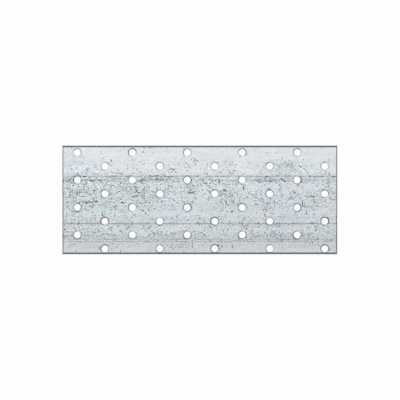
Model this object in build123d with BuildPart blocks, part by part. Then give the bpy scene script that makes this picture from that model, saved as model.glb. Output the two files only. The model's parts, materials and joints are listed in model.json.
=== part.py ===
"""Perforated mending plate, punched and sheared from one piece of galvanised steel sheet.

It joins timbers that lie flush, with nails or screws through a staggered field of holes.

Frame, in millimetres: +X runs along the plate, +Y across it and +Z out of the face that
the punches entered. The origin is the centre of the back face, which lies on the timber.

Every cut wall has the same form, from the punched face down: a roll-over, where the sheet
was drawn in; a burnished land, at the nominal size; and a fracture, which leans back by
the die clearance. The sides, the ends and the nail holes differ only in their roll-over.
"""

import os

from build123d import *

# The blank
plate_length = 200.0
plate_width = 79.2
sheet_thickness = 2.0

# The nail holes, at every second place of a grid, so that the rows are staggered
hole_diameter = 5.0
column_pitch = 20.0
row_pitch = 10.0
least_land = 1.0  # metal left between a hole and the edge of the plate
pattern_shift_x = 0.9  # how far the grid's centre lies from the plate's centre
pattern_shift_y = -0.5

# The cut walls
burnished_land = 0.7
die_clearance = 0.12
hole_rollover_width = 0.4
hole_rollover_depth = 0.16
side_rollover_width = 0.6
side_rollover_depth = 0.22
end_rollover_width = 0.45
end_rollover_depth = 0.18


def places_along(extent, pitch, shift):
    """How many places of the grid keep their land within this extent of the plate."""
    reach = extent / 2 - abs(shift) - hole_diameter / 2 - least_land
    return int(2 * reach // pitch) + 1


def cut_wall(nominal, rollover_width, rollover_depth, metal_side):
    """Draws a cut wall in the active BuildLine, and returns its ends on the two faces.

    nominal is the wall's distance from the section's centre line. metal_side is -1 where
    the metal lies towards that line, as at the plate's edge, and +1 where it lies away.
    """
    rollover_start = sheet_thickness - rollover_depth
    fracture_start = rollover_start - burnished_land
    foot = nominal + metal_side * die_clearance
    crest = nominal + metal_side * rollover_width
    Polyline((foot, 0), (nominal, fracture_start), (nominal, rollover_start))
    TangentArc(
        (crest, sheet_thickness), (nominal, rollover_start), tangent=(-metal_side, 0)
    )
    return (foot, 0), (crest, sheet_thickness)


def blank_section(extent, rollover_width, rollover_depth):
    """The blank's section from one cut wall to the opposite one, standing on its back."""
    with BuildSketch() as section:
        with BuildLine():
            foot, crest = cut_wall(extent / 2, rollover_width, rollover_depth, -1)
            Line((0, 0), foot)
            Line(crest, (0, sheet_thickness))
            mirror(about=Plane.YZ)
        make_face()
    return section.sketch


def punched_section():
    """Half the section of what one punch stroke removes, beside the hole's axis."""
    with BuildSketch() as section:
        with BuildLine():
            foot, crest = cut_wall(
                hole_diameter / 2, hole_rollover_width, hole_rollover_depth, 1
            )
            Polyline(crest, (0, sheet_thickness), (0, 0), foot)
        make_face()
    return section.sketch


column_count = places_along(plate_length, column_pitch, pattern_shift_x)
row_count = places_along(plate_width, row_pitch, pattern_shift_y)
hole_centres = [
    (
        pattern_shift_x + (column - (column_count - 1) / 2) * column_pitch,
        pattern_shift_y + (row - (row_count - 1) / 2) * row_pitch,
    )
    for row in range(row_count)
    for column in range(column_count)
    if (column + row) % 2
]

with BuildPart() as punched_slug:
    with BuildSketch(Plane.XZ):
        add(punched_section())
    revolve(axis=Axis.Z)

with BuildPart() as mending_plate:
    # The strip, slit to width along both sides
    with BuildSketch(Plane.YZ.offset(-plate_length / 2)):
        add(blank_section(plate_width, side_rollover_width, side_rollover_depth))
    extrude(amount=plate_length)

    # The ends, sheared to length
    with BuildSketch(Plane.XZ.offset(-plate_width / 2)):
        add(blank_section(plate_length, end_rollover_width, end_rollover_depth))
    extrude(amount=plate_width, mode=Mode.INTERSECT)

    # The nail holes
    with Locations(*hole_centres):
        add(punched_slug.part, mode=Mode.SUBTRACT)

mending_plate.part.label = "mending_plate"

os.makedirs("parts", exist_ok=True)
export_step(mending_plate.part, "parts/mending_plate.step")

print(f"{len(hole_centres)} holes in {row_count} rows on {column_count} columns")
print(f"volume {mending_plate.part.volume:.1f} mm3")
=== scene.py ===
"""Perforated mending plate in galvanised steel sheet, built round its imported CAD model.

Lengths are in metres in the model's own frame: X runs along the plate, Y across it and Z out
of the face that the punches entered, with the back face at z = 0. Inside the materials a
length is in millimetres.
"""

import json
import math
from functools import partial, partialmethod

import bpy
from bpy.props import FloatProperty, FloatVectorProperty, IntProperty, PointerProperty
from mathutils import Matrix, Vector


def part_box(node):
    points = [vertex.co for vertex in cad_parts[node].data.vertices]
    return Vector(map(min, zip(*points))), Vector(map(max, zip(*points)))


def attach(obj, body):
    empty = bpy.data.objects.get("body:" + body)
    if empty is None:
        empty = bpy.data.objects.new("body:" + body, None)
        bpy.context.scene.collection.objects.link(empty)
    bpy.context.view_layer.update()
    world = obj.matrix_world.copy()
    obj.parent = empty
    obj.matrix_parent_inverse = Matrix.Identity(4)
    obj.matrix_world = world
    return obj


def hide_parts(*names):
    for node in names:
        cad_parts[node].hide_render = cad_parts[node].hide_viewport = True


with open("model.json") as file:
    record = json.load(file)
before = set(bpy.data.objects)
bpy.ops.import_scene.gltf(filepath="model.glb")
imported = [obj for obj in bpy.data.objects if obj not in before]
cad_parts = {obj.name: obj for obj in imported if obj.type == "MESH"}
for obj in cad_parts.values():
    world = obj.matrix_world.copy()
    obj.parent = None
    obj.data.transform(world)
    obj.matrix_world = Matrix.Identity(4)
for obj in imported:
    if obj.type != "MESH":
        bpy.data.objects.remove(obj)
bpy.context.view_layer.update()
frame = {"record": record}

bl_info = {
    "name": "Perforated Mending Plate",
    "version": (1, 0, 0),
    "blender": (4, 5, 0),
    "location": "View3D > Sidebar > Mending Plate",
    "description": "Makes a punched and galvanised mending plate, and a stage to show it on",
    "category": "Add Mesh",
}

MILLIMETRE = 0.001
PLATE_NODE = "mending_plate"


# ---------------- what the frame says


def nail_hole_lattices():
    """The two mounts that span the interleaved lattices of nail holes, as dictionaries."""
    mounts = {mount["name"]: mount for mount in frame["record"]["mounts"]}
    return mounts["nail_holes_a_outer_corners"], mounts["nail_holes_b_outer_corners"]


plate_low, plate_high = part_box(PLATE_NODE)
plate_extent = plate_high - plate_low
lattice_a, lattice_b = nail_hole_lattices()
lattice_a_centre = Vector(lattice_a["pos_m"])
lattice_b_centre = Vector(lattice_b["pos_m"])
lattice_step = lattice_b_centre - lattice_a_centre
grid_centre = (lattice_a_centre + lattice_b_centre) / 2
nail_hole_diameter = 2 * lattice_a["dims"]["hole_r_mm"] * MILLIMETRE
half_plate = plate_extent / (2 * MILLIMETRE)  # in millimetres, for the materials


# ---------------- settings


def a_setting(kind, name, description, default, **limits):
    """A property of some kind, with its label, its description and its default."""
    return kind(name=name, description=description, default=default, **limits)


a_length = partial(a_setting, FloatProperty, min=0.0, precision=5, unit="LENGTH")
a_place = partial(a_setting, FloatVectorProperty, precision=5, subtype="TRANSLATION")
a_share = partial(a_setting, FloatProperty, min=0.0, max=1.0, subtype="FACTOR")
a_colour = partial(a_setting, FloatVectorProperty, min=0.0, max=1.0, subtype="COLOR")
a_power = partial(a_setting, FloatProperty, min=0.0, unit="POWER")
a_focal_length = partial(a_setting, FloatProperty, min=1.0, unit="CAMERA")
a_count = partial(a_setting, IntProperty, min=1)


class PlateSizes(bpy.types.PropertyGroup):
    """Sizes of the blank, its staggered nail holes and its cut walls."""

    length: a_length("Length", "Length of the blank", plate_extent.x)
    width: a_length("Width", "Width of the blank", plate_extent.y)
    thickness: a_length("Thickness", "Thickness of the sheet", plate_extent.z)
    hole_diameter: a_length("Hole Diameter", "Diameter of a nail hole at its land", nail_hole_diameter)
    column_pitch: a_length("Column Pitch", "Distance between neighbouring columns", abs(lattice_step.x))
    row_pitch: a_length("Row Pitch", "Distance between neighbouring rows", abs(lattice_step.y))
    columns: a_count("Columns", "Number of columns, every second used in a row", 10)
    rows: a_count("Rows", "Number of rows", 8)
    field_shift: a_place(
        "Field Shift",
        "Where the middle of the hole field lies from the middle of the plate",
        (grid_centre.x, grid_centre.y, 0.0),
    )
    hole_rollover_width: a_length("Hole Roll-over Width", "How far the edge of a hole is drawn in", 0.0004)
    hole_rollover_depth: a_length(
        "Hole Roll-over Depth", "How deep the edge of a hole is drawn in", 0.00016
    )
    side_rollover_width: a_length("Side Roll-over Width", "How far the slit sides are drawn in", 0.0006)
    side_rollover_depth: a_length("Side Roll-over Depth", "How deep the slit sides are drawn in", 0.00022)
    end_rollover_width: a_length("End Roll-over Width", "How far the sheared ends are drawn in", 0.00045)
    end_rollover_depth: a_length("End Roll-over Depth", "How deep the sheared ends are drawn in", 0.00018)
    burnished_land: a_length("Burnished Land", "Height of the smooth part of a cut wall", 0.0007)
    die_clearance: a_length("Die Clearance", "How far a cut wall leans back at the other face", 0.00012)
    fracture_roughness: a_length("Fracture Roughness", "Depth of the tears in the fracture", 0.00006)


class ZincFinish(bpy.types.PropertyGroup):
    """Colours and strengths of the zinc coat and of the bare cut walls."""

    zinc_colour: a_colour("Zinc Colour", "Colour of the clean zinc coat", (0.602, 0.645, 0.667))
    # Also the colour of the painted shade on the rolled rims of the nail holes
    oxide_and_shade_colour: a_colour("Oxide Colour", "Colour of pits, stains and rims", (0.12, 0.132, 0.136))
    dent_colour: a_colour("Dent Colour", "Colour of specks and scratches", (0.03, 0.033, 0.034))
    land_colour: a_colour("Land Colour", "Colour of the burnished part of a cut wall", (0.36, 0.37, 0.375))
    fracture_colour: a_colour(
        "Fracture Colour", "Colour of the broken part of a cut wall", (0.17, 0.17, 0.168)
    )
    zinc_roughness: a_share("Zinc Roughness", "Roughness of clean zinc", 0.42)
    zinc_metallic: a_share("Zinc Metallic", "How metallic clean zinc is", 0.75)


class StudioSettings(bpy.types.PropertyGroup):
    """The camera, the lamps and the background."""

    lens: a_focal_length("Lens", "Focal length of the camera", 200.0)
    view_width: a_length("View Width", "Width that the camera sees at the face of the plate", 0.29105)
    aim: a_place(
        "Aim", "Point of the face that the camera looks straight down on", (0.00016, -0.00007, 0.0)
    )
    ambient: a_share("Ambient", "Even light from all round", 0.6)
    key_power: a_power("Key Power", "Power of the lamp beyond the upper left corner", 4.2)
    fill_power: a_power("Fill Power", "Power of the lamp on the right", 1.8)
    floor_glow: a_share("Floor Glow", "Share of the floor that shows white in any light", 0.95)


def settings_of(group):
    """A group's settings in their order, each by its own name and its property."""
    return [(name, group.bl_rna.properties[name]) for name in group.__annotations__]


# ---------------- node trees as expressions

NUMBER = "NodeSocketFloat"
VECTOR = "NodeSocketVector"


def find_socket(sockets, name):
    """A socket by its place, its identifier or its name."""
    for socket in sockets:
        if socket.identifier == name:
            return socket
    return sockets[name]


class Field:
    """A node's output that takes part in ordinary arithmetic, as a number or a vector."""

    def __init__(self, kit, socket):
        self.kit = kit
        self.socket = socket

    def output(self, name):
        """Another output of the same node."""
        return Field(self.kit, find_socket(self.socket.node.outputs, name))

    def step(self, operation, *others):
        return self.kit.calculate(operation, self, *others)

    def reflected_step(self, operation, other):
        return self.kit.calculate(operation, other, self)

    __add__ = partialmethod(step, "ADD")
    __radd__ = partialmethod(reflected_step, "ADD")
    __sub__ = partialmethod(step, "SUBTRACT")
    __rsub__ = partialmethod(reflected_step, "SUBTRACT")
    __mul__ = partialmethod(step, "MULTIPLY")
    __rmul__ = partialmethod(reflected_step, "MULTIPLY")
    __truediv__ = partialmethod(step, "DIVIDE")
    __rtruediv__ = partialmethod(reflected_step, "DIVIDE")
    __mod__ = partialmethod(step, "FLOORED_MODULO")
    __lt__ = partialmethod(step, "LESS_THAN")
    __gt__ = partialmethod(step, "GREATER_THAN")
    __abs__ = partialmethod(step, "ABSOLUTE")


def is_vector(value):
    """Whether a field, or what would go to a socket as it is, is a vector or a colour."""
    return isinstance(value, tuple) or isinstance(value, Field) and value.socket.type in {"VECTOR", "RGBA"}


class NodeKit:
    """Adds nodes to one tree."""

    def __init__(self, tree):
        self.tree = tree

    def add(self, kind, sockets=None, output=0, stops=(), captures=(), **settings):
        """Adds a node, sets its settings and then its sockets, and returns one output."""
        node = self.tree.nodes.new(kind)
        for name, value in settings.items():
            setattr(node, name, value)
        if stops:
            points = node.mapping.curves[0].points
            for place, stop in enumerate(stops):
                point = points[place] if place < 2 else points.new(*stop)
                point.location = stop
            node.mapping.update()
        for data_type, name in captures:
            node.capture_items.new(data_type, name)
        for name, value in (sockets or {}).items():
            self.feed(find_socket(node.inputs, name), value)
        return Field(self, find_socket(node.outputs, output)) if node.outputs else node

    def feed(self, socket, value):
        """Links a field, or several, to an input, or sets its own value."""
        if isinstance(value, Field):
            self.tree.links.new(value.socket, socket)
        elif isinstance(value, list):
            for one in value:
                self.tree.links.new(one.socket, socket)
        elif socket.type == "RGBA":
            socket.default_value = (*value, 1.0)
        else:
            socket.default_value = value

    def calculate(self, operation, *operands):
        """One step of arithmetic, on vectors where an operand is one."""
        vectors = [is_vector(operand) for operand in operands]
        sockets = dict(enumerate(operands))
        if not any(vectors):
            return self.add("ShaderNodeMath", sockets, operation=operation)
        if operation == "MULTIPLY" and not all(vectors):
            vector, number = operands if vectors[0] else reversed(operands)
            sockets = {0: vector, "Scale": number}
            operation = "SCALE"
        return self.add("ShaderNodeVectorMath", sockets, operation=operation)

    def position(self):
        return self.add("GeometryNodeInputPosition")

    def vector(self, x, y, z):
        return self.add("ShaderNodeCombineXYZ", {"X": x, "Y": y, "Z": z})

    def parts(self, vector):
        """The three numbers of a vector."""
        split = self.add("ShaderNodeSeparateXYZ", {0: vector})
        return split, split.output("Y"), split.output("Z")

    def measure(self, operation, *vectors):
        """A number that is worked out from vectors."""
        sockets = dict(enumerate(vectors))
        return self.add("ShaderNodeVectorMath", sockets, "Value", operation=operation)

    def ramp(self, value, start, end, top=1.0, **settings):
        """Goes from nothing to its top as a value goes from its start to its end."""
        sockets = {"Value": value, "From Min": start, "From Max": end, "To Max": top}
        return self.add("ShaderNodeMapRange", sockets, **settings)

    def soft(self, value, start, end, top=1.0):
        """A ramp with soft ends. The start may lie above the end.

        It stays within its ends unclamped, which spares the shader compiler a node that
        it would put off to the end of the tree.
        """
        settings = {"interpolation_type": "SMOOTHSTEP", "clamp": False}
        return self.ramp(value, start, end, top, **settings)

    length = partialmethod(measure, "LENGTH")
    dot = partialmethod(measure, "DOT_PRODUCT")
    sine = partialmethod(calculate, "SINE")
    cosine = partialmethod(calculate, "COSINE")
    least = partialmethod(calculate, "MINIMUM")
    most = partialmethod(calculate, "MAXIMUM")

    def noise(self, point, size, detail):
        """Smooth noise from 0 to 1 about one half, with features of a size."""
        sockets = {"Vector": point, "Scale": 1.0 / size, "Detail": detail}
        return self.add("ShaderNodeTexNoise", sockets)

    def blend(self, share, first, second):
        """A colour between two colours."""
        sockets = {"Factor_Float": share, "A_Color": first, "B_Color": second}
        return self.add("ShaderNodeMix", sockets, "Result_Color", data_type="RGBA")


def new_tree(name, kind, inputs, outputs):
    """A node tree with inputs and outputs, from each one's name and socket type.

    It comes with its inputs' sockets by name.
    """
    tree = bpy.data.node_groups.new(name, kind)
    sockets = {
        socket: tree.interface.new_socket(socket, in_out="INPUT", socket_type=socket_type)
        for socket, socket_type in inputs.items()
    }
    for socket, socket_type in outputs.items():
        tree.interface.new_socket(socket, in_out="OUTPUT", socket_type=socket_type)
    return tree, sockets


# ---------------- the perforated sheet

WALL_ROWS = 10
FRACTURE_SHARE = 0.4  # the rows of a cut wall that its fracture takes, from the back face
LAND_SHARE = 0.5  # where its burnished land ends and its roll-over starts
HOLE_VERTICES = 48
OUTLINE_SPACING = 0.00125
WELD_DISTANCE = 0.000002
CORNER_RUN = 0.003  # over this length a side's roll-over comes to the depth of the end's
SHEET_SEED = 11.0
TEAR_SIZE = 0.0005
DRAW_SIZE = 0.0025  # over this length the sheet is drawn in more and less
LEAST_DRAW = 0.75
CORNER = 0.9999  # of the way to a corner of the blank


def cut_wall(kit, given, share, width, depth, point):
    """A cut wall's set-back from its nominal place, and its height, at a share of its rows.

    From the back face up: a fracture that leans and is torn, a plumb land, a roll-over.
    """
    rollover_start = given("Thickness") - depth
    fracture_start = rollover_start - given("Burnished Land")
    fracture = kit.ramp(share, 0.0, FRACTURE_SHARE)
    land = kit.ramp(share, FRACTURE_SHARE, LAND_SHARE)
    turn = kit.ramp(share, LAND_SHARE, 1.0) * (math.pi / 2)
    tear = kit.noise(point, TEAR_SIZE, 1.0) * given("Fracture Roughness")
    draw = kit.noise(point, DRAW_SIZE, 1.0) * (2 - 2 * LEAST_DRAW) + LEAST_DRAW
    set_back = given("Die Clearance") * (1 - fracture)
    set_back = set_back + tear * fracture * (1 - fracture) * 4
    set_back = set_back + width * draw * (1 - kit.cosine(turn))
    height = fracture_start * fracture
    height = height + given("Burnished Land") * land
    height = height + depth * kit.sine(turn)
    return set_back, height


def outline_wall(kit, given):
    """The cut wall round the blank, from a box with no lid and no bottom."""
    box = kit.add(
        "GeometryNodeMeshCube",
        {
            "Size": (2.0, 2.0, 1.0),
            "Vertices X": given("Length") / OUTLINE_SPACING,
            "Vertices Y": given("Width") / OUTLINE_SPACING,
            "Vertices Z": WALL_ROWS + 1,
        },
    )
    facing = kit.parts(kit.add("GeometryNodeInputNormal"))[2]
    walls = kit.add(
        "GeometryNodeDeleteGeometry", {"Geometry": box, "Selection": abs(facing) > 0.5}, domain="FACE"
    )
    x, y, z = kit.parts(kit.position())
    creased = kit.add(
        "GeometryNodeSetShadeSmooth",
        {"Geometry": walls, "Selection": abs(x * y) > CORNER, "Shade Smooth": False},
        domain="EDGE",
    )
    half_length = given("Length") / 2
    half_width = given("Width") / 2
    run = kit.soft((1 - abs(x)) * half_length, 0.0, CORNER_RUN)
    end_depth = given("End Roll-over Depth")
    depth = end_depth + (given("Side Roll-over Depth") - end_depth) * run
    share = z + 0.5
    point = kit.vector(x * half_length, y * half_width, share * MILLIMETRE + SHEET_SEED)
    end, height = cut_wall(kit, given, share, given("End Roll-over Width"), depth, point)
    side = cut_wall(kit, given, share, given("Side Roll-over Width"), depth, point)[0]
    place = kit.vector(x * (half_length - end), y * (half_width - side), height)
    return kit.add("GeometryNodeSetPosition", {"Geometry": creased, "Position": place})


def hole_walls(kit, given):
    """The cut walls of all nail holes, each a tube that stands at its place of the grid."""
    grid = kit.add(
        "GeometryNodeMeshGrid",
        {
            "Size X": (given("Columns") - 1) * given("Column Pitch"),
            "Size Y": (given("Rows") - 1) * given("Row Pitch"),
            "Vertices X": given("Columns"),
            "Vertices Y": given("Rows"),
        },
    )
    x, y, _ = kit.parts(kit.position())
    column = x / given("Column Pitch") + (given("Columns") - 1) / 2
    row = y / given("Row Pitch") + (given("Rows") - 1) / 2
    left_out = abs((column + row) % 2 - 1) > 0.5
    staggered = kit.add("GeometryNodeDeleteGeometry", {"Geometry": grid, "Selection": left_out})
    places = kit.add("GeometryNodeSetPosition", {"Geometry": staggered, "Offset": given("Field Shift")})
    tube = kit.add(
        "GeometryNodeMeshCylinder",
        {"Vertices": HOLE_VERTICES, "Side Segments": WALL_ROWS, "Radius": 1.0, "Depth": 1.0},
        fill_type="NONE",
    )
    marked = kit.add(
        "GeometryNodeCaptureAttribute",
        {"Geometry": tube, "Spoke": kit.position()},
        captures=[("VECTOR", "Spoke")],
    )
    spoke = marked.output("Spoke")
    # At no scale, each tube's vertices start from their hole's centre
    copies = kit.add(
        "GeometryNodeInstanceOnPoints", {"Points": places, "Instance": marked, "Scale": (0, 0, 0)}
    )
    tubes = kit.add("GeometryNodeRealizeInstances", {"Geometry": copies})
    x, y, z = kit.parts(spoke)
    radius = given("Hole Diameter") / 2
    centre = kit.position()
    point = centre + kit.vector(x * radius, y * radius, z * MILLIMETRE + SHEET_SEED)
    set_back, height = cut_wall(
        kit, given, z + 0.5, given("Hole Roll-over Width"), given("Hole Roll-over Depth"), point
    )
    reach = radius + set_back
    shaped = kit.add(
        "GeometryNodeSetPosition", {"Geometry": tubes, "Offset": kit.vector(x * reach, y * reach, height)}
    )
    return kit.add("GeometryNodeFlipFaces", {"Mesh": shaped})


def flat_face(kit, walls, level, at_level):
    """The flat sheet between the walls' rims at one level."""
    rims = kit.add("GeometryNodeMeshToCurve", {"Mesh": walls, "Selection": at_level})
    sheet = kit.add("GeometryNodeFillCurve", {"Curve": rims}, mode="TRIANGLES")
    x, y, _ = kit.parts(kit.position())
    return kit.add("GeometryNodeSetPosition", {"Geometry": sheet, "Position": kit.vector(x, y, level)})


def perforated_sheet_tree(sizes, face_material, cut_material):
    """The node tree that makes the punched sheet, and its inputs by the sizes' labels."""
    kinds = {}
    for _, setting in settings_of(sizes):
        number = NUMBER if setting.type == "FLOAT" else "NodeSocketInt"
        kinds[setting.name] = VECTOR if setting.is_array else number
    tree, inputs = new_tree("Perforated Sheet", "GeometryNodeTree", kinds, {"Sheet": "NodeSocketGeometry"})
    kit = NodeKit(tree)
    given = kit.add("NodeGroupInput").output

    walls = kit.add(
        "GeometryNodeJoinGeometry", {"Geometry": [hole_walls(kit, given), outline_wall(kit, given)]}
    )
    walls = kit.add("GeometryNodeSetShadeSmooth", {"Geometry": walls})
    height = kit.parts(kit.position())[2]
    thickness = given("Thickness")
    front = flat_face(kit, walls, thickness, height > thickness - WELD_DISTANCE)
    back = flat_face(kit, walls, 0.0, height < WELD_DISTANCE)
    back = kit.add("GeometryNodeFlipFaces", {"Mesh": back})
    flats = kit.add("GeometryNodeJoinGeometry", {"Geometry": [front, back]})
    flats = kit.add("GeometryNodeSetShadeSmooth", {"Geometry": flats, "Shade Smooth": False})
    sheet = kit.add("GeometryNodeJoinGeometry", {"Geometry": [walls, flats]})
    welded = kit.add("GeometryNodeMergeByDistance", {"Geometry": sheet, "Distance": WELD_DISTANCE})
    real = kit.add("GeometryNodeRealizeInstances", {"Geometry": welded})
    coated = kit.add("GeometryNodeSetMaterial", {"Geometry": real, "Material": face_material})
    rollover_start = thickness - given("Hole Roll-over Depth")
    is_cut = (height > WELD_DISTANCE) * (height < rollover_start)
    finished = kit.add(
        "GeometryNodeSetMaterial", {"Geometry": coated, "Selection": is_cut, "Material": cut_material}
    )
    kit.add("NodeGroupOutput", {"Sheet": finished})
    return tree, inputs


def plain_mesh(piece):
    """Puts what a piece's modifiers make in place of its mesh, and removes them."""
    depsgraph = bpy.context.evaluated_depsgraph_get()
    mesh = bpy.data.meshes.new_from_object(
        piece.evaluated_get(depsgraph), preserve_all_data_layers=False, depsgraph=depsgraph
    )
    piece.modifiers.clear()
    piece.data = mesh
    mesh.name = piece.name
    if mesh.materials[0] is None:
        mesh.materials.pop(index=0)


# ---------------- the zinc coat

# The coat's noises: strength, length along and across the sheet, detail, seed, and any warp
COAT_NOISES = {
    "clouds": (0.07, 22, 9, 2, 5),
    "mottling": (0.12, 5.5, 3.2, 2, 9),
    "flecks": (0.2, 1.9, 1.3, 1, 17),
    "streaks": (0.08, 9, 0.8, 1, 23),
    "grit": (0.56, 0.75, 0.65, 0, 29),
    "worms": (1, 1.3, 0.9, 0, 37, 0.8),
    "red": (0.06, 7, 5, 1, 81),
    "blue": (0.055, 7, 5, 1, 83),
    "shift_x": (0.35, 1.6, 1.6, 1, 61),
    "shift_y": (0.35, 1.6, 1.6, 1, 67),
    "pitting": (0.55, 14, 7, 2, 31),
    "dashes": (1, 2.1, 0.75, 1, 41, 0.4),
    "boundaries": (1, 3, 3, 1, 53),
    "wander": (0.3, 30, 60, 1, 71),
    "gaps": (1, 4.5, 2.5, 2, 73),
}
LAYERS_PER_METRE = 15000  # of every noise, through the sheet, so that its faces differ
PIT_CELLS_PER_METRE = (590, 680, 3000)
GRAINS_PER_METRE = (130, 170, 3000)

# Marks that come in as their noise and the pitting rise: the pitting's share, from where to
# where they come in, and their darkness
DASHES = (0.5, 0.6, 0.9, 0.8)
WORM_TRACKS = (0.55, 0.5, 0.85, 0.6)
GRAIN_BOUNDARIES = (0.3, 0.2, 0.55, 0.65)

# Painted shade along the rolled edges at +Y, -Y, +X and -X: how far in each one starts, how far
# in it is full, and its darkness
EDGE_SHADE_BANDS = ((1.55, 1.2, 0.805), (1.55, 1.2, 0.775), (1.1, 0.5, 0.74), (1.5, 0.3, 0.57))
SIDE_LIP = 0.3

FRONT = (0.9, 1.1)  # between these heights the marks of the front come in
PITTED_END = (-20, -60, 0.1)  # from where, to where and how much more one end is pitted
MOST_PITTING = 0.9
SMOOTH_GRAIN = 0.25  # the share of the fine grain where nothing is pitted
PITTED_GRAIN = 1.1  # and how fast it grows with the pitting
PIT_WALL = (0.42, 0.2)  # in cells, from a pit's rim to its floor
PALEST_PIT = 0.45
BOUNDARY_WALL = (0.06, 0.015)
DENT_WALL = 0.35
DENT_DARKNESS = 1.12
# Painted highlight round each dent mark, where the metal is pushed up
RAISED_METAL_HIGHLIGHT = (1.2, 0.3, 0.12)  # how far out of a dent it ends and is full, and its brightness
RING_LINE = (0.6, 0.1)
DRAWN_WALL = (0.35, 0.3)  # a drawn line ends so far past its half width, full at this share of it
DRAWN_GAPS = (0.8, 0.1)  # how far below its own breaking it comes in, and is whole
RIM_BAND = (3.6, 2.9)  # the radii between which the rim of a hole comes in
RIM_DARKNESS = 1.05
RIM_LEAN = 0.45
RIM_UNEVENNESS = 1.6
RIM_WANDER = 0.9
WHOLE = 0.01  # keeps a whole number whole when it is rounded down
DIRT_AND_SHADE_DULL = 0.6
DIRT_AND_SHADE_ROUGHEN = 0.25
GRAIN_ROUGHENS = 0.3
ZINC_BUMP = 0.35
BUMP_DEPTH = 0.0001

# How light the coat is across the plate: distance in Y, then its tone
ROLLED_TONES = (
    (-39.6, 1.02), (-36.5, 0.98), (-33, 0.92), (-30.9, 0.93), (-29.5, 0.98), (-28, 0.95), (-25.5, 0.97),
    (-22, 1.02), (-18.4, 0.995), (-15.5, 1), (-12.8, 0.99), (-10.3, 1.04), (-6.5, 1.01), (-2, 1.04),
    (1, 1.06), (5.5, 1.07), (8.5, 1.11), (12.4, 1.1), (14.3, 0.98), (16, 1.12), (18.6, 1.08), (20.5, 1.12),
    (24.5, 1.12), (28.5, 1.1), (31, 1.13), (36.5, 1.13), (39.6, 1.15),
)
LOWEST_TONE = 0.8
TONE_SPAN = 0.5

# Lighter and darker places: centre in X and Y, half length, half width, and change of tone
TONE_PATCHES = (
    (-96, 15.5, 8, 3, -0.07), (-70, 14.5, 18, 2.5, -0.03), (-33, 15.5, 12, 3, -0.1), (-46, 7, 5, 6, -0.04),
    (-88, 6.6, 9, 3, -0.05), (-77, -2, 10, 3, -0.05), (-35, 1, 10, 4.5, -0.06), (-7, 9.5, 4, 7, -0.09),
    (48, 15, 18, 3, -0.08), (64, 24, 10, 7, -0.06), (20, 8, 5, 4, -0.06), (49, -3.5, 7, 5, -0.05),
    (83, 3, 8, 4, -0.06), (30, -3.5, 9, 4, -0.04), (-64, -10, 16, 5, 0.05), (-20, -3, 8, 9, 0.065),
    (4, 5, 7, 7, 0.06), (-95, -27, 9, 4, -0.04), (-16, -26, 17, 3.5, -0.05), (58, -27, 34, 4, -0.08),
    (12, -35, 5, 5, -0.08), (-17, -34, 11, 4, -0.04), (-50, -33.5, 9, 4, 0.05), (-68, -21.5, 18, 4, 0.045),
    (30, 29, 11, 7, 0.045), (68, -15, 13, 8, -0.05), (-96, 30, 6, 9, -0.03), (-88, 33, 8, 4, -0.02),
    (-23, -3, 5, 4, 0.05), (-42, -3.5, 5, 4, 0.05), (9, 12, 9, 2.5, 0.06), (33, 7, 4, 4, -0.05),
    (47, 34, 6, 4, -0.03), (80, 24, 7, 6, -0.03), (-90, -31.5, 4, 2.5, -0.05), (-62, -27, 8, 4, 0.04),
    (59, -27, 3, 3, 0.05), (75, 9, 22, 4, -0.045), (-84, 12, 4, 3, 0.09), (2, -36.5, 6, 3, 0.04),
    (60, -3.5, 8, 4, -0.03), (95, -5, 5, 3, -0.03),
)

# Redder and bluer places, in the same way
RED_PATCHES = (
    (-20, 33, 88, 20, 0.035),
    (100, 32, 14, 14, 0.05),
    (-48, -2, 62, 30, -0.03),
    (40, 4, 36, 16, -0.015),
    (-104, -4, 9, 36, 0.02),
)
BLUE_PATCHES = (
    (62, -4, 26, 30, 0.035),
    (-86, 25, 16, 8, 0.02),
    (-20, -6, 16, 26, 0.015),
    (-75, 0, 30, 20, -0.012),
    (-104, -4, 9, 36, -0.04),
)

# How thickly the coat is pitted across the plate
PITTING = (
    (-39.6, 0.15), (-31.5, 0.2), (-30, 0.5), (-26, 0.58), (-21.5, 0.5), (-10, 0.42), (0, 0.62), (16, 0.7),
    (18.5, 0.45), (27, 0.38), (30, 0.2), (39.6, 0.1),
)

# Lines that the rolls drew along the sheet: place in Y, half width, darkness, and how broken
DRAWN_LINES = (
    (17.15, 0.45, 0.62, 0.3), (14.4, 0.8, 0.5, 0.65), (6.4, 0.5, 0.3, 0.8), (2.2, 0.35, 0.16, 0.75),
    (-1.8, 0.35, 0.35, 0.75), (-4.8, 0.35, 0.16, 0.75), (-17.25, 0.45, 0.6, 0.25),
    (-28.7, 0.45, 0.42, 0.35), (-30.2, 0.35, 0.5, 0.35),
)

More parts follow.
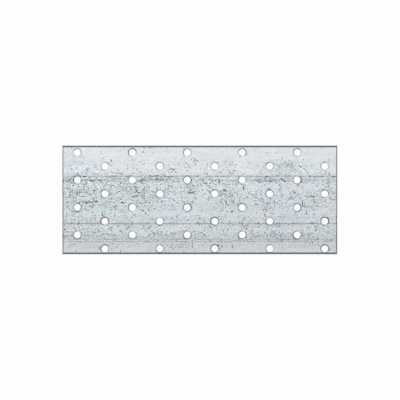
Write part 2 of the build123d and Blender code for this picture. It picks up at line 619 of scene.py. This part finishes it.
# Scratches: half width, darkness, then each one's start and its run in X and Y
SCRATCHES = (
    (0.28, 0.3, (-42, 34.5, 2.5, -0.1), (-4.8, 30.2, 1, 0), (43.5, 21.5, 0, -2.5), (76.5, -4.9, 5.5, 0.2)),
    (0.28, 0.5, (-61.5, 19.3, 5.5, -0.2), (-35, 6.8, 0.9, -1.7), (6.2, 10.6, 2.8, -2.4)),
    (0.35, 0.3, (-68.7, -8.3, 0.1, -2.2), (35.4, 26.7, 1.8, -0.2), (17, -4.8, -2, -4.2),
     (61.7, -11.2, 0, -2.4), (91.7, -23.4, 1.4, -0.9)),
    (0.35, 0.4, (-59.4, 22.3, 0.9, -1.7), (-84, -6, 1.7, -1), (-20, 22.3, 1.1, -0.1),
     (-18.9, 22.2, 0.7, -1.2), (-6.2, 29.2, 0.4, 0.7), (-29.3, 12.8, 0.2, 1.2), (-41.7, 2, 1.1, -1.1),
     (-34.5, 1.9, 1.1, -1.2), (8.8, 13.8, -1.6, -2.8), (5, 6.9, 2, -0.8), (7, 6.1, 0.7, -2.1),
     (76.4, 2.6, 2.8, -0.6)),
    (0.35, 0.5, (-61.5, -3.8, 0.2, -3.4), (-57.7, -36.4, 0, -2.4), (-5.4, -31.1, 0.1, -3.1),
     (6.3, 2.4, 0, -2.7), (71.9, 25.1, 1.1, -0.8), (75.3, 23.2, 1.8, -1.9), (94.3, 20.1, 0, -2.1)),
    (0.42, 0.4, (-78.8, -22.9, 2.3, -1.1), (-3.2, 30, 0, -1.3), (-43.6, 12.8, 1.2, -0.6),
     (-48.5, 9.7, 3.9, -0.4), (-42.3, -20.8, 2.3, 0.1), (-1.3, -15.3, 0.2, -2.2), (40, 1.9, 1.5, -0.1),
     (78.5, 20.7, -0.1, -1.6), (62.5, 18.9, -0.2, -1.5), (74.9, -4, 1.6, -0.9)),
    (0.42, 0.5, (-81.7, 21.3, 0.5, 0.8), (-88.8, -18, 1, 0.9), (-67.6, -24.5, 1.5, -1.5),
     (-17.9, 20, 1, 0.1), (-25.6, 17, 3.2, -0.2), (53, 14.1, 1.4, 0), (50, 8.6, 1.3, -0.7),
     (19.3, -0.6, 0, -2.8), (30.6, -17, 0.7, -1.4), (3.7, -25.1, -1, -1.1), (68.3, -16.6, 0.2, -1.3),
     (80.6, -17.3, 2.5, 0.5), (83.5, -19.2, 0.6, -0.9)),
    (0.42, 0.57, (-93.3, -8.5, 1.8, 0), (-47, 8.8, 1, -1.8), (-8.7, 5.2, 0.9, 0.4), (-6.8, 5.4, 1.9, 0.1),
     (68.1, 7, 0.4, -2), (32.8, -18.6, -0.9, -1.3), (47, -10.2, 1.1, -2.1), (23.8, -33.2, 0, -1.8),
     (74.6, -1.4, 0.3, -2.6), (84.9, -4.3, 1.5, -0.5), (60, -28.8, 0, -1.6)),
    (0.42, 0.66, (-79.8, 13.8, 2.2, 0.5), (-86, 2.7, 1.4, -0.3), (-82.6, -2.3, 1.2, -0.3),
     (-32, 17.8, 1.7, -0.1), (-48.3, 2.3, 2.5, 0.6), (59.6, 15.2, 1.8, -1.4)),
    (0.42, 0.75, (-73.6, 14.1, 1.3, 0.2), (82, 2.5, 1.3, -0.6), (22.7, -8.5, 1.5, 0.3),
     (77.7, -8.9, -0.1, -1.4)),
    (0.5, 0.66, (-95.4, 14, 0.8, 0.5), (-32, 14.9, 2, -0.1), (51.3, 13.6, 1, 0.1)),
    (0.5, 0.75, (-64.6, 28.8, 0.5, -0.7), (-42.6, 14.1, 1.3, 1.1), (31.6, 9.1, 0.4, -1.3),
     (47.8, -6.8, 1, -0.5)),
    (0.5, 0.85, (-84.6, 17.1, 1.3, -0.1), (-76, -1.3, 1.6, 0.2), (-56.9, -1.9, 1.6, -0.2)),
    (0.65, 0.3, (-85, -1.5, 7, -0.2)),
    (0.65, 0.66, (17, 6.9, 2.1, -0.3)),
)

# Specks: radius, darkness, then each one's centre in X and Y
SPECKS = (
    (0.42, 0.35, (-37.3, 20.9), (-14.1, -32.5), (-19.2, -32.6), (-16.2, -33.3), (-21.3, -34.4),
     (-12.3, -36), (-28.4, -31.9), (15.2, -36.2), (56.6, -31.8), (72.5, -35.2), (64.8, -34),
     (35.3, -30.8)),
    (0.42, 0.5, (-92.4, 10.4), (-67.9, 12.2), (-57.7, 0.3), (-64.9, -1.2), (-88.2, -16.6), (-92.8, -11.4),
     (-73.7, -21.5), (-97, -25.9), (-70.6, -29), (-65, -31), (-24.3, 25.1), (-8, -33.4), (-10.4, -32.4),
     (-17.6, -34.2), (-12, -34.3), (16.6, -34.3), (58, -32.8), (80, -31.6), (-52.4, 15.6), (-68.4, -28.7),
     (-43.7, 14), (-40.6, 11.7), (-43.2, 9.2), (-22.7, 4.7)),
    (0.42, 0.7, (-52.5, 17.2), (-27.9, -18), (82.4, -32.6), (-54.1, -1.9), (-89.2, -2), (-26.1, -14.7)),
    (0.5, 0.35, (-40.1, 26.4), (-23.8, -33.2), (2.3, -33.3)),
    (0.5, 0.5, (-96.3, 8.4), (-83.3, -13.5), (-3.4, 26.4), (-9, 21.3), (-15.6, 13.6), (-34.1, -4),
     (0, -17.8), (-1, -33), (21.7, 27.6), (24, 3.9), (31.7, 10.6), (62.3, 27.8), (82.7, -12.5)),
    (0.5, 0.6, (-95.7, 1.7), (-88.2, 9.7), (-92.1, 14.3), (-66.3, 13.4), (-64, 1.1), (-98.5, -15.6),
     (-93.4, -17.2), (-70.8, -11.3), (-63.5, -31.8), (-1.5, 28.6), (-18.4, 13.5), (-3.8, 6.4),
     (-37.7, -11.3), (-51.3, -14.5), (-0.2, -13.6), (-37.4, -20.9), (-36.3, -25.3), (-15.3, -34.5),
     (47.1, 10.6), (75.5, 29.4), (57.2, 17.6), (80.5, 15.6), (58, 7.8), (41.3, -9.2), (13.3, -27.3),
     (91.5, -0.6), (85.7, -28.8)),
    (0.5, 0.65, (-62.2, -2), (-41.5, 18.3), (-28.5, 11.2), (-50.6, 4.5), (-46, -1.9), (-39.8, -4.1),
     (-13.7, -34.4), (13, 17.2), (11.6, 11.1), (2.2, 6.8), (18.2, 7.6), (18.7, 3.9), (36.2, 3.9),
     (42.4, -17.3)),
    (0.5, 0.7, (-90.4, 1.7), (-93.4, 12.5), (-80.4, -1.1), (-79.5, -14.3), (-64.5, -20.1), (-20.4, 16.7),
     (-28.1, 17), (-40.5, 13.6), (-8.9, 11.3), (-4.6, 10.5), (-1.7, 16.9), (-40.6, 8.2), (-35.8, 3.9),
     (-36.5, -1.9), (-49.9, -12.7), (-9.8, -34.6), (15.1, 6.2), (48.7, 17.2), (93.5, 14.1), (98, 17),
     (20.9, -3.8), (20, -8.3), (14.2, -12), (50.8, -6.1), (60.2, -24.4), (94.3, -36.8)),
    (0.5, 0.85, (-89.1, 4.7), (-76.7, 6.8), (-85.9, 14), (-57.7, 12.1), (-58.4, 6.2), (-78.1, -1.6),
     (-28.5, 14.4), (-46, 6.2), (-22, 6), (-29.2, -18.6), (13.8, 14.7), (4.9, 12), (59.3, 15.7),
     (7.8, -19.7), (20.2, -21.6)),
    (0.5, 1.0, (-94.7, 3.2), (-87.4, 5.4), (-87, 17.3), (-87.5, -2.3), (-41.6, -7.8), (25.2, 21.4),
     (13.5, -33)),
    (0.57, 0.6, (-91.3, -32.3), (15.9, -33.8), (-36, 17.6), (-42.3, -2.8), (-12.4, -32.6), (16.2, 14.1),
     (44.6, 1.1), (60, 30.2), (-89.4, -28.2), (-33.6, -24.2)),
    (0.57, 0.85, (-27.8, -0.9), (-33.1, -6.6), (14.4, 13.6), (73.9, 13.6), (13.4, -33.2), (70.9, -28.3)),
    (0.57, 1.0, (-98, -21.3), (-6, 14.4), (-44, 5.4), (-39.5, -10.1), (-9.3, -22.2), (73.6, 23.9),
     (62, 13.6), (80.6, 2.6), (34.1, -21.1), (81.9, -31)),
)

# Faint rings, in the same way
FAINT_RINGS = ((1.9, 0.5, (49.3, 15.4)), (1.5, 0.4, (56.8, -18.2), (53.3, -24.9)))

# The painted shade on the rolled rim of each nail hole, row by row from the bottom: its strength,
# and the bearing of its darkest side in degrees from X
HOLE_RIM_SHADES = (
    ((0.62, 150), (0.52, 200), (0.74, 110), (0.46, 200), (0.78, 130)),
    ((0.58, 260), (0.52, 240), (0.78, 250), (0.7, 240), (0.66, 240)),
    ((1.0, 100), (0.52, 250), (1.0, 140), (0.65, 235), (1.0, 60)),
    ((0.72, 320), (0.6, 140), (0.7, 60), (0.58, 120), (0.75, 30)),
    ((0.55, 170), (0.6, 120), (0.55, 100), (0.65, 110), (0.56, 80)),
    ((0.6, 150), (0.48, 90), (0.85, 40), (0.52, 130), (0.66, 10)),
    ((0.3, 90), (0.4, 130), (0.46, 120), (0.56, 110), (0.42, 130)),
    ((0.4, 50), (0.68, 110), (0.58, 110), (0.6, 50), (0.55, 90)),
)

# Where the coat is more or less pitted: centre in X and Y, half length, half width, amount
PITTED_PATCHES = (
    (-76, 14.3, 8, 1.6, 0.35), (-87, 6.6, 7, 2, 0.35), (-42.5, 13.6, 3, 2, 0.45), (-30, 14.7, 4, 1.3, 0.45),
    (-45, 5, 5, 4, 0.3), (-6, 5.8, 4, 2.6, 0.4), (-80, -1.6, 7, 1.2, 0.4), (63, 23.5, 14, 7, 0.16),
    (80, -24, 10, 6, 0.1), (-60, 27, 12, 8, -0.3), (32, 28, 14, 7, -0.2), (90, 29, 14, 8, -0.25),
    (-20, -21, 12, 3, -0.3), (-30, -10.5, 9, 3, -0.3), (38, -10, 8, 5, -0.25), (3, -5, 9, 8, -0.25),
    (8, 8.5, 9, 5, -0.2), (56, 8.5, 46, 4.2, -0.32), (60, -15.5, 18, 3, -0.15),
)


def empty_kit(owner):
    """A kit for the node tree of a new material or world, which it empties."""
    owner.use_nodes = True
    owner.node_tree.nodes.clear()
    return NodeKit(owner.node_tree)


def add_shader(kit, colour, metallic, roughness, bump_height, bump_strength):
    """Ends a metal's node tree in its shader, with a fine bump."""
    sockets = {"Strength": bump_strength, "Distance": BUMP_DEPTH, "Height": bump_height}
    bump = kit.add("ShaderNodeBump", sockets)
    sockets = {"Base Color": colour, "Metallic": metallic, "Roughness": roughness, "Normal": bump}
    shader = kit.add("ShaderNodeBsdfPrincipled", sockets)
    kit.add("ShaderNodeOutputMaterial", {"Surface": shader})


def zinc_noise(kit, place, strength, along, across, detail, seed, warp=0.0):
    """Noise about nothing, mostly within half its strength."""
    scale = (1 / (along * MILLIMETRE), 1 / (across * MILLIMETRE), LAYERS_PER_METRE)
    sockets = {"Vector": place, "Location": (0, 0, seed), "Scale": scale}
    mapped = kit.add("ShaderNodeMapping", sockets)
    sockets = {"Vector": mapped, "Scale": 1.0, "Detail": detail, "Distortion": warp}
    return (kit.add("ShaderNodeTexNoise", sockets) - 0.5) * (2 * strength)


def cells(kit, place, per_metre, feature="F1"):
    """A pattern of cells, from their number to a metre each way."""
    mapped = kit.add("ShaderNodeMapping", {"Vector": place, "Scale": per_metre})
    return kit.add("ShaderNodeTexVoronoi", {"Vector": mapped, "Scale": 1.0}, feature=feature)


def pitted_marks(kit, noise, pitting, share, start, end, darkness):
    """How dark marks are that come in as their noise and the pitting rise."""
    return kit.soft(noise + pitting * share, start, end, darkness)


def curve(kit, share, stops):
    """A value that follows a list of stops, which all lie between nothing and one."""
    first, *middle, last = stops
    return kit.add("ShaderNodeFloatCurve", {"Value": share}, stops=[first, last, *middle])


def stops_across(kit, y, stops, lowest=0.0, span=1.0):
    """A value that follows a list of stops across the plate."""
    half = half_plate.y
    placed = [((place + half) / (2 * half), (value - lowest) / span) for place, value in stops]
    return curve(kit, kit.ramp(y, -half, half), placed) * span + lowest


def mark_tree(name, sizes, shape):
    """A node group for one mark, which adds it to what the marks before it made.

    It takes the last mark's point and the step from there to its own centre, so that the
    shader compiler takes the marks one after another and holds few values at once.
    """
    chain = {"Point": VECTOR, "So Far": NUMBER}
    tree, _ = new_tree(name, "ShaderNodeTree", {**chain, "Step": VECTOR, **sizes}, chain)
    kit = NodeKit(tree)
    given = kit.add("NodeGroupInput").output
    near = given("Point") - given("Step")
    kit.add("NodeGroupOutput", {"Point": near, "So Far": shape(kit, near, given)})
    return tree


def mark_chain(kit, tree, point, so_far, marks):
    """What a chain of marks makes, from each one's centre and its sizes by name."""
    last = Vector((0.0, 0.0))
    for x, y, sizes in marks:
        step = (x - last.x, y - last.y, 0.0)
        last = Vector((x, y))
        sockets = {"Point": point, "So Far": so_far, "Step": step, **sizes}
        point = kit.add("ShaderNodeGroup", sockets, "Point", node_tree=tree)
        so_far = point.output("So Far")
    return so_far


def patch_shape(kit, near, given):
    """An oval place with its amount in the middle, which fades to nothing."""
    away = kit.length(near * given("Squash"))
    return kit.soft(away, 1.2, 0.3, given("Amount")) + given("So Far")


def dent(kit, away, given):
    """A dark mark of some reach, with a painted highlight round it where the metal is pushed up."""
    reach = given("Reach")
    outer, inner, brightness = RAISED_METAL_HIGHLIGHT
    dark = kit.soft(away, reach + DENT_WALL, reach / 2, DENT_DARKNESS)
    painted_highlight = kit.soft(away, reach + outer, reach + inner, brightness)
    return (dark - painted_highlight) * given("Darkness") + given("So Far")


def speck_shape(kit, near, given):
    """A round speck."""
    return dent(kit, kit.length(near), given)


def scratch_shape(kit, near, given):
    """A short straight stroke that starts at its centre."""
    run = given("Run")
    along = kit.dot(near, run) / kit.dot(run, run)
    return dent(kit, kit.length(near - run * kit.least(kit.most(along, 0.0), 1.0)), given)


def ring_shape(kit, near, given):
    """A round hairline."""
    away = abs(kit.length(near) - given("Reach"))
    return kit.soft(away, *RING_LINE, given("Darkness")) + given("So Far")


def patches(kit, tree, point, places):
    """The sum of the amounts of oval patches."""
    marks = [
        (x, y, {"Squash": (1 / half_length, 1 / half_width, 0.0), "Amount": amount})
        for x, y, half_length, half_width, amount in places
    ]
    return mark_chain(kit, tree, point, 0.0, marks)


def marks_and_highlights(kit, point):
    """How dark the scratches, specks and rings make a point, or below nothing how much the painted
    highlight round them lightens it.
    """
    round_sizes = {"Reach": NUMBER, "Darkness": NUMBER}
    dark = 0.0
    for name, sizes, shape, groups in (
        ("Scratch", {**round_sizes, "Run": VECTOR}, scratch_shape, SCRATCHES),
        ("Speck", round_sizes, speck_shape, SPECKS),
        ("Ring", round_sizes, ring_shape, FAINT_RINGS),
    ):
        marks = [
            (x, y, dict(zip(sizes, (reach, darkness, (*run, 0.0)))))
            for reach, darkness, *places in groups
            for x, y, *run in places
        ]
        dark = mark_chain(kit, mark_tree(name, sizes, shape), point, dark, marks)
    return dark


def drawn_line(kit, y, gaps, place, half_width, darkness, broken):
    """A dark line along the sheet that breaks up."""
    wall, core = DRAWN_WALL
    line = kit.soft(abs(y - place), half_width + wall, half_width * core)
    start, end = DRAWN_GAPS
    return line * kit.soft(gaps, broken - start, broken - end) * darkness


def nearest_hole(kit, x, y):
    """The centre of the nail hole nearest a point, and its column and row in the field."""
    low_x = lattice_a_centre.x / MILLIMETRE - lattice_a["dims"]["spacing_x_mm"] / 2
    low_y = lattice_b_centre.y / MILLIMETRE - lattice_b["dims"]["spacing_y_mm"] / 2
    column_pitch = abs(lattice_step.x) / MILLIMETRE
    row_pitch = abs(lattice_step.y) / MILLIMETRE
    across = (x - low_x) / (2 * column_pitch)
    up = (y - low_y) / (2 * row_pitch)
    rising = kit.calculate("ROUND", across + up - 0.5)
    falling = kit.calculate("ROUND", across - up - 0.5)
    column = rising + falling + 1
    row = rising - falling
    return column * column_pitch + low_x, row * row_pitch + low_y, column, row


def painted_rim_shade(kit, x, y, front):
    """The painted shade on the rolled rim of the nearest nail hole, each with its own strength and bearing.
    """
    hole_x, hole_y, column, row = nearest_hole(kit, x, y)
    rims = sum(HOLE_RIM_SHADES, ())
    last = len(rims) - 1
    number = row * len(HOLE_RIM_SHADES[0]) + kit.calculate("FLOOR", column / 2 + WHOLE)
    share = number / last
    strength = curve(kit, share, [(place / last, rim[0]) for place, rim in enumerate(rims)])
    bearing = curve(kit, share, [(place / last, rim[1] / 360) for place, rim in enumerate(rims)])
    bearing = bearing * math.tau
    spoke = kit.vector(x - hole_x, y - hole_y, 0.0)
    radius = kit.length(spoke)
    spoke = spoke * (1 / radius)
    lean = kit.dot(spoke, kit.vector(kit.cosine(bearing), kit.sine(bearing), 0.0))
    uneven = kit.noise(spoke * RIM_WANDER + kit.vector(hole_x, hole_y, front), 1.0, 1.0)
    darkness = strength * (RIM_DARKNESS + RIM_LEAN * lean) + RIM_UNEVENNESS * (uneven - 0.5)
    return kit.soft(radius, *RIM_BAND) * kit.most(darkness, 0.0)


def painted_edge_shade(kit, x, y):
    """How dark the painted shade is along the plate's rolled edges, less so on the lip of each side."""
    inward = (half_plate.y - y, half_plate.y + y, half_plate.x - x, half_plate.x + x)
    bands = [kit.soft(away, *band) for away, band in zip(inward, EDGE_SHADE_BANDS)]
    sides = kit.most(bands[0], bands[1]) * kit.soft(half_plate.y - abs(y), 0.0, SIDE_LIP)
    return kit.most(sides, kit.most(bands[2], bands[3]))


def zinc_material(finish):
    """The galvanised faces and their roll-over, with painted shade on the rolled edges and hole rims and
    painted highlights round the dent marks.

    The textures come first and read the coordinates through Mapping nodes alone, so that
    few values are held at once when the shader is compiled.
    """
    material = bpy.data.materials.new("galvanised_zinc")
    kit = empty_kit(material)
    place = kit.add("ShaderNodeTexCoord", output="Object")

    noise = {name: zinc_noise(kit, place, *row) for name, row in COAT_NOISES.items()}
    pit_cells = cells(kit, place, PIT_CELLS_PER_METRE)
    luck, strength, _ = kit.parts(pit_cells.output("Color"))
    grains = cells(kit, place, GRAINS_PER_METRE, "DISTANCE_TO_EDGE")

    x, y, z = kit.parts(place * (1 / MILLIMETRE))
    front = kit.soft(z, *FRONT)
    flat = kit.vector(x, y, 0.0)
    oval = mark_tree("Patch", {"Squash": VECTOR, "Amount": NUMBER}, patch_shape)

    # How thickly the coat is pitted
    pitting = noise["pitting"] + stops_across(kit, y, PITTING)
    pitting = pitting + kit.soft(x, *PITTED_END)
    pitting = kit.most(pitting + patches(kit, oval, flat, PITTED_PATCHES), 0.0)
    pitting = kit.least(pitting, MOST_PITTING)

    fine = noise["flecks"] + noise["streaks"] + noise["grit"]
    mottle = noise["clouds"] + noise["mottling"] + fine * (SMOOTH_GRAIN + PITTED_GRAIN * pitting)
    tone = mottle + stops_across(kit, y, ROLLED_TONES, LOWEST_TONE, TONE_SPAN)
    tone = tone + patches(kit, oval, flat, TONE_PATCHES)
    red = noise["red"] + patches(kit, oval, flat, RED_PATCHES)
    blue = noise["blue"] + patches(kit, oval, flat, BLUE_PATCHES)
    tint = kit.vector(1 + red, 1.0, 1 + blue)

    # Dashes, worm tracks, pits, broken grain boundaries, drawn lines, dent marks, and painted shade on the
    # hole rims
    dirt_and_rim_shade = pitted_marks(kit, noise["dashes"], pitting, *DASHES)
    dirt_and_rim_shade = kit.most(dirt_and_rim_shade, pitted_marks(kit, noise["worms"], pitting, *WORM_TRACKS))
    crowd = pitting * pitting
    pits = kit.soft(pit_cells, *PIT_WALL) * kit.soft(luck, crowd, crowd / 2)
    dirt_and_rim_shade = kit.most(dirt_and_rim_shade, pits * (PALEST_PIT + (1 - PALEST_PIT) * strength))
    broken = pitted_marks(kit, noise["boundaries"], pitting, *GRAIN_BOUNDARIES)
    dirt_and_rim_shade = kit.most(dirt_and_rim_shade, kit.soft(grains, *BOUNDARY_WALL) * broken)
    level = y - noise["wander"]
    for line in DRAWN_LINES:
        dirt_and_rim_shade = kit.most(dirt_and_rim_shade, drawn_line(kit, level, noise["gaps"], *line))
    near = kit.vector(x + noise["shift_x"], y + noise["shift_y"], 0.0)
    dents_and_highlights = marks_and_highlights(kit, near) * front
    # Painted shade on the rolled rim of each nail hole, darker on one side
    dirt_and_rim_shade = kit.most(dirt_and_rim_shade, painted_rim_shade(kit, x, y, front))

    # Painted shade along the plate's rolled edges, darker on some sides than others
    edge_shade = painted_edge_shade(kit, x, y)
    zinc = tuple(finish.zinc_colour) * tone * tint
    colour = kit.blend(dirt_and_rim_shade, zinc, finish.oxide_and_shade_colour)
    # The painted highlight round each dent mark lightens the colour, and the painted edge shade darkens it
    colour = colour * (1 - kit.least(dents_and_highlights, 0.0))
    colour = kit.blend(dents_and_highlights, colour, finish.dent_colour) * (1 - edge_shade)
    metallic = finish.zinc_metallic * (1 - dirt_and_rim_shade * DIRT_AND_SHADE_DULL)
    roughness = finish.zinc_roughness + dirt_and_rim_shade * DIRT_AND_SHADE_ROUGHEN + mottle * GRAIN_ROUGHENS
    add_shader(kit, colour, metallic, roughness, fine, ZINC_BUMP)
    return material


# ---------------- the bare cut walls

TORN_COLOUR = (0.09, 0.088, 0.085)
STREAK_STRETCH = 0.15
STREAK_SIZE = 0.22
STREAK_BUMP = 0.4
TEAR_GRAIN = 0.18
LAND_START = (0.98, 1.16)  # between these heights the fracture turns into the land
LAND_WANDER = 0.5
WANDER_SIZE = 1.6
STEEL_METALLIC = 0.7
TORN_ROUGHNESS = 0.62
LAND_ROUGHNESS = 0.35
STEEL_BUMP = 0.6


def cut_material(finish):
    """The bare cut walls: a burnished land over a torn fracture."""
    material = bpy.data.materials.new("cut_steel")
    kit = empty_kit(material)
    place = kit.add("ShaderNodeTexCoord", output="Object") * (1 / MILLIMETRE)
    x, y, z = kit.parts(place)
    streaks = kit.noise(kit.vector(x, y, z * STREAK_STRETCH), STREAK_SIZE, 2.0)
    grain = kit.noise(place, TEAR_GRAIN, 3.0)
    height = z + (kit.noise(place, WANDER_SIZE, 2.0) - 0.5) * LAND_WANDER
    burnished = kit.soft(height, *LAND_START)
    land = kit.blend(streaks, finish.fracture_colour, finish.land_colour)
    torn = kit.blend(grain, TORN_COLOUR, finish.fracture_colour)
    colour = kit.blend(burnished, torn, land)
    relief = grain * (1 - burnished) + streaks * burnished * STREAK_BUMP
    roughness = TORN_ROUGHNESS - burnished * (TORN_ROUGHNESS - LAND_ROUGHNESS)
    add_shader(kit, colour, STEEL_METALLIC, roughness, relief, STEEL_BUMP)
    return material


# ---------------- operators


def add_object(context, name, data):
    """A new object in the scene."""
    item = bpy.data.objects.new(name, data)
    context.scene.collection.objects.link(item)
    return item


class MENDINGPLATE_OT_add_plate(bpy.types.Operator):
    """Make the punched and galvanised plate"""

    bl_idname = "mending_plate.add_plate"
    bl_label = "Add Galvanised Plate"
    bl_options = {"REGISTER", "UNDO"}

    def execute(self, context):
        sizes = context.scene.mending_plate_sizes
        finish = context.scene.mending_plate_finish
        zinc, steel = zinc_material(finish), cut_material(finish)
        tree, inputs = perforated_sheet_tree(sizes, zinc, steel)
        plate = add_object(context, "galvanised_plate", bpy.data.meshes.new("sheet"))
        modifier = plate.modifiers.new("Perforated Sheet", "NODES")
        modifier.node_group = tree
        for name, setting in settings_of(sizes):
            modifier[inputs[setting.name].identifier] = getattr(sizes, name)
        plain_mesh(plate)
        if not plate.data.polygons:
            raise RuntimeError("the node tree made no faces for the plate")
        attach(plate, "root")
        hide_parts(PLATE_NODE)
        return {"FINISHED"}


class MENDINGPLATE_OT_add_stage(bpy.types.Operator):
    """Make the floor, the lamps, the background and the camera"""

    bl_idname = "mending_plate.add_stage"
    bl_label = "Add Stage"
    bl_options = {"REGISTER", "UNDO"}

    def execute(self, context):
        studio = context.scene.mending_plate_studio
        add_floor(context, studio)
        add_background(context, studio)
        add_lamp(context, "key_lamp", *KEY_LAMP, studio.key_power)
        add_lamp(context, "fill_lamp", *FILL_LAMP, studio.fill_power)
        add_camera(context, studio)
        context.scene.view_settings.view_transform = "Standard"
        return {"FINISHED"}


CLIP_RANGE = 100  # how many times nearer and further than the plate the camera sees
FLOOR_HALF_SIZE = 4.0
FLOOR_PAINT = (0.9, 0.9, 0.9)
WHITE = (1.0, 1.0, 1.0)
KEY_LAMP = ((-0.62, 0.62, 1.05), 0.8)  # its place and its size
FILL_LAMP = ((0.95, -0.25, 0.85), 0.9)


def seen_directly(kit):
    """One on a ray from the camera, a mirror or glass, and otherwise nothing."""
    camera_ray = kit.add("ShaderNodeLightPath", output="Is Camera Ray")
    other_rays = kit.most(camera_ray.output("Is Glossy Ray"), camera_ray.output("Is Transmission Ray"))
    return kit.most(camera_ray, other_rays)


def add_floor(context, studio):
    """A pale floor under the plate's back face."""
    material = bpy.data.materials.new("pale_floor")
    kit = empty_kit(material)
    paint = kit.add("ShaderNodeBsdfDiffuse", {"Color": FLOOR_PAINT})
    glow = kit.add("ShaderNodeEmission", {"Color": WHITE})
    surface = kit.add("ShaderNodeMixShader", {0: seen_directly(kit) * studio.floor_glow, 1: paint, 2: glow})
    kit.add("ShaderNodeOutputMaterial", {"Surface": surface})
    mesh = bpy.data.meshes.new("pale_floor")
    reach = FLOOR_HALF_SIZE
    corners = [(-reach, -reach, 0), (reach, -reach, 0), (reach, reach, 0), (-reach, reach, 0)]
    mesh.from_pydata(corners, [], [(0, 1, 2, 3)])
    mesh.materials.append(material)
    add_object(context, "pale_floor", mesh)


def add_background(context, studio):
    """Even light from all round, which shows as white."""
    world = bpy.data.worlds.new("studio")
    kit = empty_kit(world)
    strength = studio.ambient + seen_directly(kit) * (1 - studio.ambient)
    background = kit.add("ShaderNodeBackground", {"Color": WHITE, "Strength": strength})
    kit.add("ShaderNodeOutputWorld", {"Surface": background})
    context.scene.world = world


def add_lamp(context, name, place, size, power):
    """A large square lamp that faces the plate."""
    light = bpy.data.lights.new(name, "AREA")
    light.shape = "SQUARE"
    light.size = size
    light.energy = power
    lamp = add_object(context, name, light)
    lamp.location = place
    lamp.rotation_euler = (-Vector(place)).to_track_quat("-Z", "Y").to_euler()


def add_camera(context, studio):
    """A camera that looks straight down on the plate's face."""
    optics = bpy.data.cameras.new("camera")
    optics.lens = studio.lens
    distance = studio.view_width * optics.lens / optics.sensor_width
    optics.clip_start = distance / CLIP_RANGE
    optics.clip_end = distance * CLIP_RANGE
    camera = add_object(context, "camera", optics)
    camera.location = Vector(studio.aim) + Vector((0, 0, plate_high.z + distance))
    context.scene.camera = camera


# ---------------- panel and registration


class MENDINGPLATE_PT_sidebar(bpy.types.Panel):
    """Makes the plate and its stage, and shows their settings"""

    bl_idname = "MENDINGPLATE_PT_sidebar"
    bl_label = "Mending Plate"
    bl_space_type = "VIEW_3D"
    bl_region_type = "UI"
    bl_category = "Mending Plate"

    def draw(self, context):
        scene = context.scene
        for operator, settings in (
            (MENDINGPLATE_OT_add_plate, scene.mending_plate_sizes),
            (None, scene.mending_plate_finish),
            (MENDINGPLATE_OT_add_stage, scene.mending_plate_studio),
        ):
            box = self.layout.box()
            if operator:
                box.operator(operator.bl_idname)
            for name, _ in settings_of(settings):
                box.prop(settings, name)


SETTINGS = {
    "mending_plate_sizes": PlateSizes,
    "mending_plate_finish": ZincFinish,
    "mending_plate_studio": StudioSettings,
}
CLASSES = (
    *SETTINGS.values(), MENDINGPLATE_OT_add_plate, MENDINGPLATE_OT_add_stage, MENDINGPLATE_PT_sidebar
)


def register():
    for one in CLASSES:
        bpy.utils.register_class(one)
    for name, group in SETTINGS.items():
        setattr(bpy.types.Scene, name, PointerProperty(type=group))


def unregister():
    for name in SETTINGS:
        delattr(bpy.types.Scene, name)
    for one in reversed(CLASSES):
        bpy.utils.unregister_class(one)


def main():
    register()
    bpy.ops.mending_plate.add_plate()
    bpy.ops.mending_plate.add_stage()


if __name__ == "__main__":
    main()
